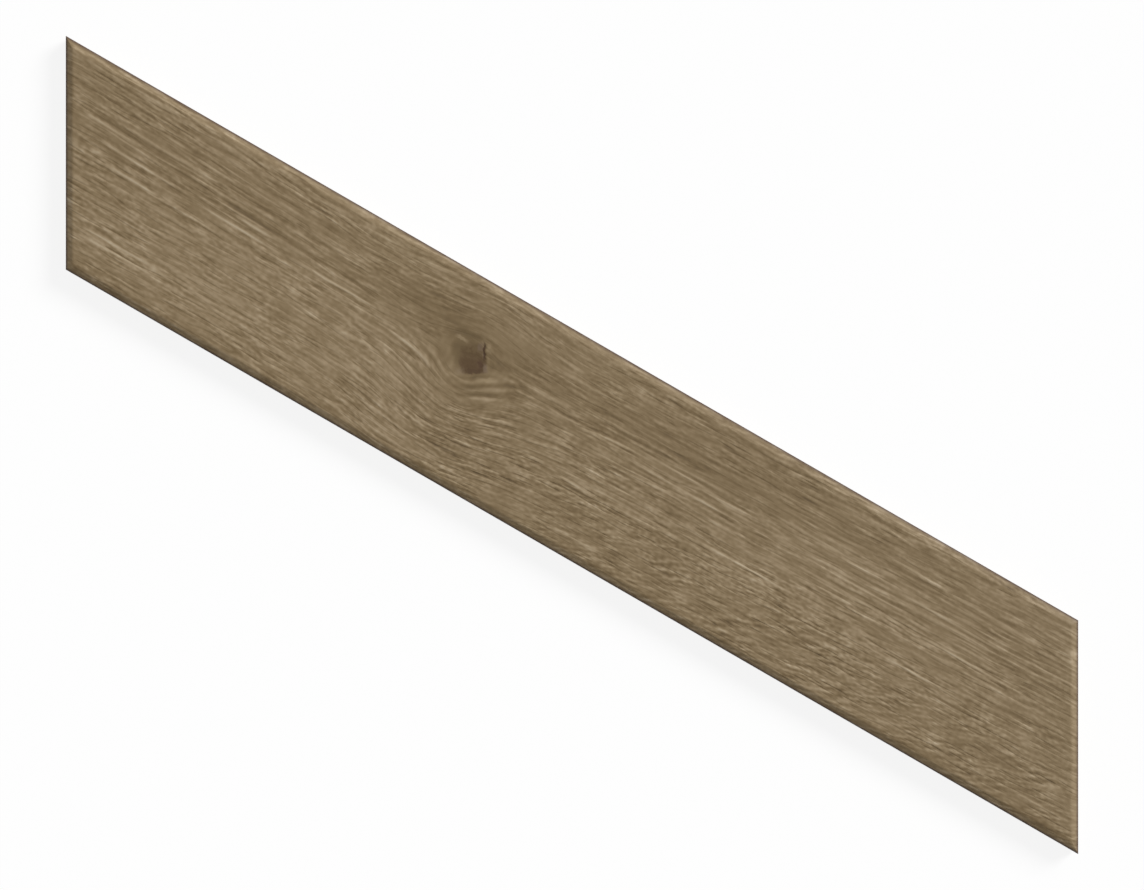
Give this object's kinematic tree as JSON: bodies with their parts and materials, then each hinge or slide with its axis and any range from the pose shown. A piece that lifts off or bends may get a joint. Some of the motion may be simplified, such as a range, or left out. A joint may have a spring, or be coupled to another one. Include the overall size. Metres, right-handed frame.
{
  "type": "chevron wall tile",
  "caption": "Parallelogram ceramic wall tile with a matt wood-effect face, soft pressed edges and a keyed back, laid in mirrored pairs to make chevrons.",
  "frame": {"origin": "centre of the tile's back, in the plane that it rests on or is bedded on", "axes": "+X across the chevron, +Y along the spine of the chevron, parallel to the mitred edges, +Z out of the printed face"},
  "size_m": [0.3464, 0.28, 0.009],
  "materials": {
    "glazed_porcelain": "matte"
  },
  "bodies": {
    "root": {"chevron_tile": "glazed_porcelain"}
  },
  "joints": []
}
